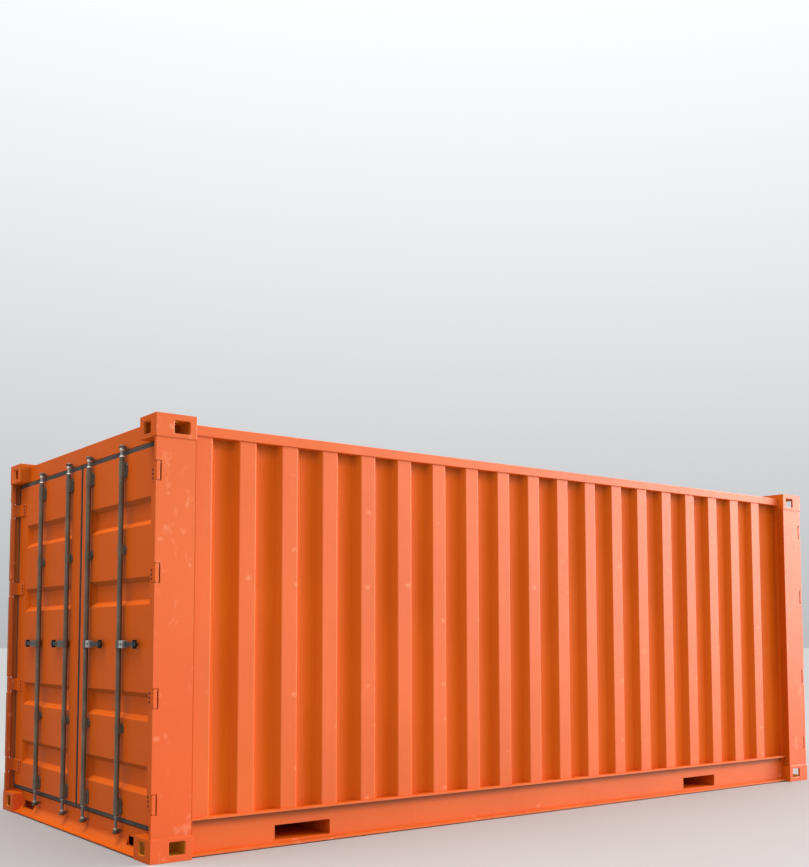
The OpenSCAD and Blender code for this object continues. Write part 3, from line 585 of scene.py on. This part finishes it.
def hinge_washers(name, hinges, out):
    """Bearing washers on the pins, above and below each knuckle, where it turns in its post."""
    around, radius, thick, play, pin_inset = 24, 0.0115, 0.0045, 0.0007, 0.012
    mesh = bmesh.new()
    for node in hinges:
        for low, high in island_boxes(node):
            side = 1 if low.y > 0 else -1
            x = low.x + pin_inset if out < 0 else high.x - pin_inset
            y = side * (max(abs(low.y), abs(high.y)) - pin_inset)
            for z in (low.z - play - thick, high.z + play):
                angles = [2 * math.pi * k / around for k in range(around)]
                rim = [Vector((x + radius * math.cos(a), y + radius * math.sin(a), z)) for a in angles]
                skin(mesh, [rim, [point + Vector((0, 0, thick)) for point in rim]])
    return piece(name, mesh, "container_paint", "container", smooth=False)


def hub_places(node):
    """Two clamp bolts in the front of a handle's hub."""
    low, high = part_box(node)
    side = 1 if low.y > 0 else -1
    bar = BAR_OUTER if max(abs(low.y), abs(high.y)) > 0.6 else BAR_INNER
    for reach in HUB_BOLTS_AT:
        yield node, side * (bar + reach), (low.z + high.z) / 2, -1


def gasket(mesh, side, out):
    """Rubber frame with two rounded lips and a groove between, round one leaf."""
    seal_low, seal_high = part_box("left_door_seal" if out < 0 else "far_door_seals")
    outer = (min(abs(seal_low.y), abs(seal_high.y)), seal_high.y, seal_low.z, seal_high.z)
    if out > 0:
        outer = (MEETING_Y, *outer[1:])
    inner = (*LEAF_Y, *LEAF_Z)
    front = seal_low.x if out < 0 else seal_high.x
    back = seal_high.x if out < 0 else seal_low.x
    groove, lip_count, lip_steps = 0.003, 2, 6
    profile = [(0.0, back), (0.0, front - out * groove)]
    for i in range(1, lip_count * lip_steps):
        share = i / (lip_count * lip_steps)
        swell = abs(math.sin(math.pi * lip_count * share)) ** 0.6
        profile.append((share, front - out * groove * (1 - swell)))
    profile += [(1.0, front - out * groove), (1.0, back)]
    rings = []
    for share, x in profile:
        y0, y1, z0, z1 = (a + (b - a) * share for a, b in zip(inner, outer))
        rings.append([Vector((x, side * y, z)) for y, z in ((y0, z0), (y1, z0), (y1, z1), (y0, z1))])
    skin(mesh, rings, closed=True)


def gaskets(name, body, out, sides, stands_for):
    mesh = bmesh.new()
    for side in sides:
        gasket(mesh, side, out)
    return piece(name, mesh, "rubber_seal", body, stands_for, smooth=False)


def board(mesh, low, high, chamfer):
    """Board with eased edges between two corners."""
    made = bmesh.ops.create_cube(mesh, size=1.0)["verts"]
    for vert in made:
        vert.co = Vector(low[i] if vert.co[i] < 0 else high[i] for i in range(3))
    edges = list({edge for vert in made for edge in vert.link_edges})
    bmesh.ops.bevel(mesh, geom=edges, offset=chamfer, segments=2, profile=0.5, affect="EDGES")


def floor_boards():
    """Plywood boards in staggered rows, with a narrow joint between them."""
    low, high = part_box("floor")
    rows, joint, chamfer, board_l, shortest = 4, 0.003, 0.0015, 2.4, 0.3
    row_w = (high.y - low.y) / rows
    threshold = 0.0755
    mesh = bmesh.new()
    for row in range(rows):
        start, end = low.x + threshold, high.x - threshold
        cut = start + board_l * (1.0 if row % 2 else 0.5)
        cuts = [start]
        while cut < end - shortest:
            cuts.append(cut)
            cut += board_l
        cuts.append(end)
        y0 = low.y + row * row_w + (joint / 2 if row else 0.0)
        y1 = low.y + (row + 1) * row_w - (joint / 2 if row < rows - 1 else 0.0)
        for a, b in zip(cuts, cuts[1:]):
            board(mesh, (a + joint / 2, y0, low.z), (b - joint / 2, y1, high.z), chamfer)
    return piece("floor_boards", mesh, "plywood", "container", "floor", smooth=False)


def floor_screws():
    """Countersunk heads in rows over the cross members."""
    low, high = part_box("floor")
    members = sorted({round((a.x + b.x) / 2, 3) for a, b in island_boxes("cross_members")})
    mesh = bmesh.new()
    width = high.y - low.y
    for x in members:
        for share in (0.03, 0.12, 0.22, 0.28, 0.38, 0.47, 0.53, 0.62, 0.72, 0.78, 0.88, 0.97):
            at = Vector((x, low.y + share * width, high.z))
            rings = []
            for r, lift in ((0.0055, -0.002), (0.0055, 0.0004), (0.0046, 0.0009), (0.0016, 0.0007)):
                angles = [2 * math.pi * i / 12 for i in range(12)]
                rings.append([at + Vector((r * math.cos(a), r * math.sin(a), lift)) for a in angles])
            skin(mesh, rings)
    return piece("floor_screws", mesh, "galvanised_steel", "container", smooth=False)


def bead(mesh, start, end, radius, rng):
    """Hand-laid weld along an edge: a half-sunk cord with an uneven, scaled surface."""
    way = end - start
    count = max(4, int(way.length / 0.005))
    side = way.cross(Vector((0, 0, 1)))
    side = (side if side.length > 1e-6 else Vector((1, 0, 0))).normalized()
    up = side.cross(way).normalized()
    rings = []
    for i in range(count + 1):
        r = radius * (0.88 + 0.14 * (i % 2) + 0.10 * rng.random())
        if i in (0, count):
            r *= 0.4
        at = start + way * (i / count)
        angles = [2 * math.pi * k / 8 for k in range(8)]
        rings.append([at + (side * math.cos(a) + up * math.sin(a)) * r for a in angles])
    skin(mesh, rings)


def weld_beads():
    """Welds where the posts meet the corner fittings, on the end and side faces."""
    low_fit, high_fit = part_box("bottom_corner_fittings"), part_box("top_corner_fittings")
    rng = random.Random(7)
    radius = 0.004
    mesh = bmesh.new()
    for posts in ("door_end_posts", "far_end_posts"):
        low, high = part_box(posts)
        end, inner = (low.x, high.x) if posts == "door_end_posts" else (high.x, low.x)
        for side in (-1, 1):
            face = side * high.y
            for z in (low_fit[1].z, high_fit[0].z):
                bead(mesh, Vector((end, face, z)), Vector((inner, face, z)), radius, rng)
    return piece("weld_beads", mesh, "container_paint", "container")


def ease(node, width):
    """Rounds the arrises of a CAD node and evens out its shading, without touching its mesh."""
    made = NODES[node]
    weld = made.modifiers.new("join", "WELD")
    weld.merge_threshold = 1e-5
    flats = made.modifiers.new("flats", "DECIMATE")
    flats.decimate_type = "DISSOLVE"
    flats.angle_limit = math.radians(0.5)
    if width:
        arris = made.modifiers.new("arris", "BEVEL")
        arris.width = width
        arris.segments = 2
        arris.limit_method = "ANGLE"
        arris.angle_limit = math.radians(40)
        arris.use_clamp_overlap = False
    shade = made.modifiers.new("shade", "WEIGHTED_NORMAL")
    shade.keep_sharp = True


# Rounding of the arrises in metres, by the start of a node's name
ARRISES = {
    "bottom_corner": 0.0035, "top_corner": 0.0035, "door_end_posts": 0.0025, "far_end_posts": 0.0025,
    "door_header": 0.0025, "far_header": 0.0025, "door_sill": 0.0025, "far_sill": 0.0025,
    "top_side_rails": 0.004,
    "left_door_hinges": 0.001, "right_door_hinges": 0.001, "far_door_hinges": 0.001,
    "bar_keepers": 0.001, "handle": 0.0012, "far_handles": 0.0012,
}


def arris_of(node):
    starts = [start for start in ARRISES if node.startswith(start)]
    return ARRISES[max(starts, key=len)] if starts else 0.0


def make_camera():
    data = bpy.data.cameras.new("camera")
    data.sensor_width = SENSOR
    data.lens = FOCAL_PX / PHOTO_H * SENSOR
    data.shift_x = (PHOTO_W / 2 - PRINCIPAL_X) / PHOTO_H
    data.shift_y = (PRINCIPAL_Y - PHOTO_H / 2) / PHOTO_H
    data.clip_end = 500
    made = bpy.data.objects.new("camera", data)
    bpy.context.scene.collection.objects.link(made)
    turn, rise = math.radians(CAMERA_AZIMUTH), math.radians(CAMERA_RISE)
    way = Vector((math.cos(turn) * math.cos(rise), math.sin(turn) * math.cos(rise), math.sin(rise)))
    made.location = CAMERA_AT
    made.rotation_mode = "QUATERNION"
    made.rotation_quaternion = way.to_track_quat("-Z", "Y")
    bpy.context.scene.camera = made


def make_room():
    """Pale surroundings, brighter overhead and towards the far end."""
    world = bpy.data.worlds.new("studio")
    world.use_nodes = True
    nodes, links = world.node_tree.nodes, world.node_tree.links
    way = nodes.new("ShaderNodeTexCoord")
    lean = nodes.new("ShaderNodeVectorMath")
    lean.operation = "DOT_PRODUCT"
    lean.inputs[1].default_value = ROOM_LEAN
    level = nodes.new("ShaderNodeMath")
    level.operation = "ADD"
    level.inputs[1].default_value = ROOM_LEVEL
    glow = nodes["Background"]
    glow.inputs["Color"].default_value = (0.97, 0.98, 1.0, 1.0)
    links.new(way.outputs["Generated"], lean.inputs[0])
    links.new(lean.outputs["Value"], level.inputs[0])
    links.new(level.outputs[0], glow.inputs["Strength"])
    bpy.context.scene.world = world


def place_light(name, data, at, aim):
    made = bpy.data.objects.new(name, data)
    bpy.context.scene.collection.objects.link(made)
    made.location = at
    made.rotation_mode = "QUATERNION"
    made.rotation_quaternion = (aim - at).to_track_quat("-Z", "Y")


def make_lights():
    """A soft key from the far end, a panel that sheens the side wall, and one above the working doors."""
    key = bpy.data.lights.new("key", "SUN")
    key.energy = 3.3
    key.angle = math.radians(22)
    key.color = (1.0, 0.97, 0.93)
    place_light("key", key, KEY_WAY * 20, Vector((0, 0, 0)))
    panel = bpy.data.lights.new("panel", "AREA")
    panel.shape = "RECTANGLE"
    panel.size, panel.size_y = 7, 5
    panel.energy = 520
    place_light("panel", panel, Vector((11.0, -7.5, 3.0)), Vector((0, 0, 1.2)))
    above = bpy.data.lights.new("above", "AREA")
    above.shape = "RECTANGLE"
    above.size, above.size_y = 3.5, 2.0
    above.energy = 190
    place_light("above", above, Vector((-4.6, 0.0, 6.6)), Vector((-3.0, 0, 1.2)))


def make_stage():
    mesh = bmesh.new()
    bmesh.ops.create_circle(mesh, cap_ends=True, radius=150, segments=96)
    data = bpy.data.meshes.new("stage")
    mesh.to_mesh(data)
    mesh.free()
    made = bpy.data.objects.new("stage", data)
    bpy.context.scene.collection.objects.link(made)
    data.materials.append(stage_floor())


def dress_nodes():
    """Gives every CAD node its finish and its rounded arrises."""
    for row in frame["record"]["subparts"]:
        for holder in NODES[row["node"]].material_slots:
            holder.material = FINISHES[row["material_slot"]]
        ease(row["node"], arris_of(row["node"]))


make_camera()
make_room()
make_lights()
make_stage()

FINISHES = {
    "container_paint": container_paint(),
    "dark_steel": dark_steel(),
    "galvanised_steel": galvanised_steel(),
    "rubber_seal": rubber_seal(),
    "plywood": plywood(),
}

for leaf in ("left_door", "right_door"):
    bolts(f"{leaf}_hinge_bolts", blade_places(f"{leaf}_hinges", -1), leaf, *BLADE_BOLT)
    guides = f"{leaf.split('_')[0]}_bar_guides"
    bolts(f"{leaf}_guide_bolts", foot_places(guides, -1), leaf, *FOOT_BOLT)
    side = 1 if leaf == "left_door" else -1
    gaskets(f"{leaf}_gasket", leaf, -1, (side,), f"{leaf}_seal")
bolts("far_hinge_bolts", blade_places("far_door_hinges", 1), "container", *BLADE_BOLT)
bolts("far_guide_bolts", foot_places("far_bar_guides", 1), "container", *FOOT_BOLT)
gaskets("far_gaskets", "container", 1, (-1, 1), "far_door_seals")
far_axes = []
for bar in ("left_outer", "left_inner", "right_inner", "right_outer"):
    body = next(name for name, members in BODIES.items() if f"handle_{bar}" in members)
    bolts(f"handle_{bar}_bolts", hub_places(f"handle_{bar}"), body, *HUB_BOLT)
    axis = sum(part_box(f"locking_bar_{bar}"), Vector()) / 2
    bar_collars(f"bar_collars_{bar}", [axis], body)
    far_axes.append(Vector((-axis.x, axis.y, axis.z)))
bar_collars("far_bar_collars", far_axes, "container")
hinge_washers("door_hinge_washers", ("left_door_hinges", "right_door_hinges"), -1)
hinge_washers("far_hinge_washers", ("far_door_hinges",), 1)
floor_boards()
floor_screws()
weld_beads()
dress_nodes()

bpy.context.scene.view_settings.view_transform = "Standard"
